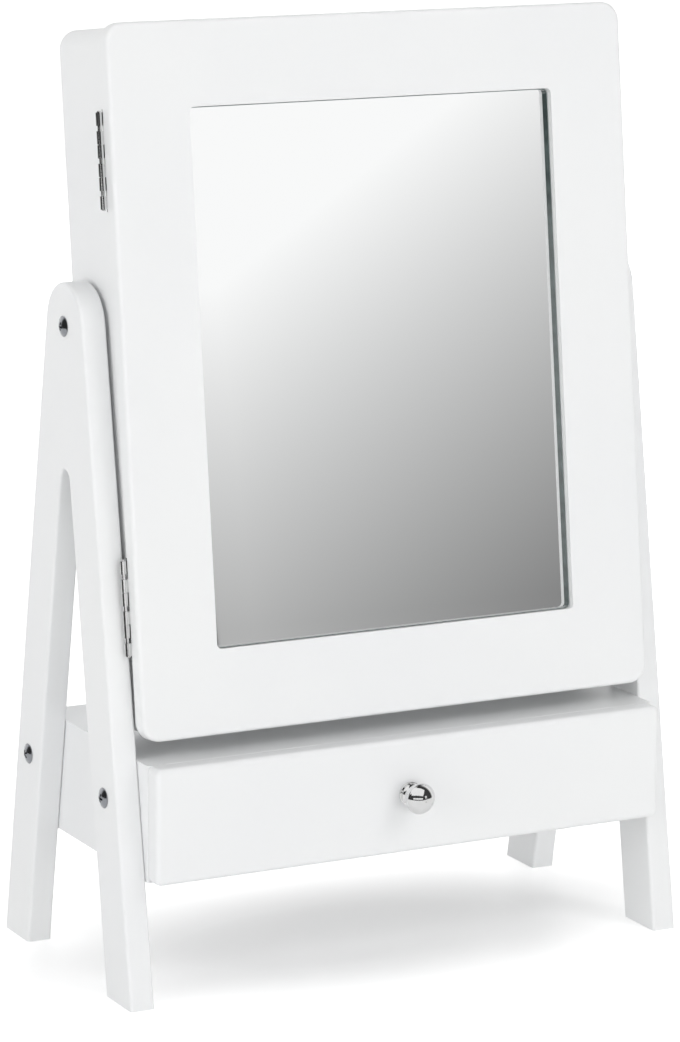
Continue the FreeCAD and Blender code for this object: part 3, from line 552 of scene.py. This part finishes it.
def carve(made, tool):
    """Cut tool out of a piece and drop the tool."""
    cut = made.modifiers.new("cut", "BOOLEAN")
    cut.operation = "DIFFERENCE"
    cut.solver = "EXACT"
    cut.object = tool
    result = bpy.data.meshes.new_from_object(
        made.evaluated_get(bpy.context.evaluated_depsgraph_get()))
    made.modifiers.clear()
    made.data = result
    bpy.data.objects.remove(tool)


def cross_tool(top, turned):
    """One tapered wedge of a cross-head screw's recess, in millimetres about the head."""
    mouth, tip = (top + 0.6, 2.9, 0.62), (top - 1.5, 1.1, 0.42)   # height, half length and width
    points = []
    for along, reach, wide in (mouth, tip):
        for a, b in ((-reach, -wide), (reach, -wide), (reach, wide), (-reach, wide)):
            points.append((b, a, along) if turned else (a, b, along))
    return points, [(0, 1, 2, 3), (7, 6, 5, 4), (0, 4, 5, 1), (1, 5, 6, 2), (2, 6, 7, 3),
                    (3, 7, 4, 0)]


def screw_profile(shank, reach, head, dome):
    """Radius and height pairs from the shank's end over the domed head."""
    tip, taper, arris_in, arris_up, dome_rings, dome_foot = 0.6, 1, 0.3, 0.25, 11, 0.985
    profile = [(0, -reach), (shank * tip, -reach), (shank, -reach + taper), (shank, 0),
               (head - arris_in, 0), (head, arris_up)]
    ball = (head ** 2 + dome ** 2) / (2 * dome)
    edge = math.asin(head / ball)
    for i in range(1, dome_rings + 1):
        angle = edge * (1 - i / dome_rings)
        profile.append((ball * math.sin(angle) * dome_foot,
                        dome - ball * (1 - math.cos(angle))))
    return profile


def screw_heads(metal):
    """Domed cross-head screws through the side panels, each with its shank. They are made and
    cut in millimetres, where the boolean has room to work, and then placed."""
    head, dome, outside, steps = 5.0, 1.95, 151.7, 40
    first, each, per_side = 17, 38, 25         # degrees by which the recesses are turned
    for node, shank, reach, places in (
            ("unit_screws", 2.0, 20.2, ((-44.28, 98.0), (44.28, 98.0))),
            ("pivot_screws", 2.5, 21.7, ((0.0, PIVOT_HEIGHT),))):
        made = []
        for side in (-1, 1):
            for number, (y, z) in enumerate(places):
                points, faces = lathe(screw_profile(shank, reach, head, dome), steps)
                name = f"{node}_{'left' if side < 0 else 'right'}_{number}"
                screw = piece(name, points, faces, [metal], None)
                rework(screw, tidy)
                for turned in (False, True):
                    tool = piece("tool", *cross_tool(dome, turned), [metal], None)
                    rework(tool, tidy)
                    carve(screw, tool)
                spin = math.radians(first + each * number + per_side * side)
                for vertex in screw.data.vertices:
                    a, b, along = vertex.co
                    across = (a * math.cos(spin) - b * math.sin(spin)) * side
                    up = a * math.sin(spin) + b * math.cos(spin)
                    vertex.co = stood(side * (outside + along), y + across, z + up)
                rework(screw, tidy)
                rework(screw, sharpen)
                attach(screw, "stand")
                made.append(screw)
        for screw in made:
            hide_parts(node)


def ring_rolls(pile):
    """Five foam rolls in velvet: soft where they press together, gathered at their ends."""
    radius, length, middle, u = 5.95, 107.4, 66.0, 10.95
    lowest, pitch, ease = -118.2, 12.6, 0.985
    rings, steps, crowding = 44, 36, 1.6       # crowding: rings close up towards the ends
    pressed, pleats, pleat_depth = 0.055, 11, 0.07
    (slow, slow_waves), (quick, quick_waves) = (0.012, 0.11), (0.008, 0.31)   # unevenness
    points, faces = [], []
    for roll in range(5):
        w = lowest + pitch * roll
        phases = [random.uniform(0, 6.28) for _ in range(6)]
        rows = []
        for k in range(rings + 1):
            t = 2 * k / rings - 1
            x = middle + math.copysign(1 - (1 - abs(t)) ** crowding, t) * length / 2
            end = (length / 2 - abs(x - middle)) / radius
            bulge = math.sqrt(max(0.0, 1 - max(0.0, 1 - end) ** 2)) if end < 1 else 1.0
            row = []
            for i in range(steps):
                a = 2 * math.pi * i / steps
                pinch = 1 - pressed * abs(math.sin(a)) ** 6
                sway = 1 + slow * math.sin(x * slow_waves + phases[0]) + quick * math.sin(
                    x * quick_waves + 2 * a + phases[1])
                pleat = 1 - pleat_depth * (1 - bulge) * (1 + math.cos(pleats * a + phases[2]))
                r = radius * bulge * pinch * sway * pleat * ease
                row.append(len(points))
                points.append(hung(x, u + r * math.cos(a), w + r * math.sin(a)))
            rows.append(row)
        for lower, upper in zip(rows, rows[1:]):
            for i in range(steps):
                j = (i + 1) % steps
                faces.append((lower[i], upper[i], upper[j], lower[j]))
        faces += [tuple(rows[0]), tuple(reversed(rows[-1]))]
    rolls = piece("velvet_ring_rolls", points, faces, [pile], "cabinet")
    rework(rolls, tidy)
    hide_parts("ring_rolls")


# ---- build -------------------------------------------------------------------------------
by_slot = {"white_paint": white_paint(),
           "chrome": chrome("chrome", (0.77, 0.77, 0.77), 0.05, 0.1),
           "steel": chrome("steel", (0.5, 0.5, 0.51), 0.25, 0.4),
           "brass": chrome("brass", (0.72, 0.56, 0.3), 0.2, 0.35),
           "nylon": nylon(), "velvet": velvet(), "mirror": mirror_face(), "foam_tape": foam()}
for part in frame["record"]["subparts"]:
    mesh = nodes[part["node"]].data
    mesh.materials.clear()
    mesh.materials.append(by_slot[part["material_slot"]])

mirror_pane(by_slot["mirror"], by_slot["foam_tape"])
screw_heads(chrome("dark_chrome", (0.3, 0.31, 0.33), 0.12, 0.22))
ring_rolls(by_slot["velvet"])

add_camera()
studio()
lamps()
mirror_card()
for card in KNOB_CARDS:
    facing_card(*card)
view = bpy.context.scene.view_settings
view.view_transform = "Standard"
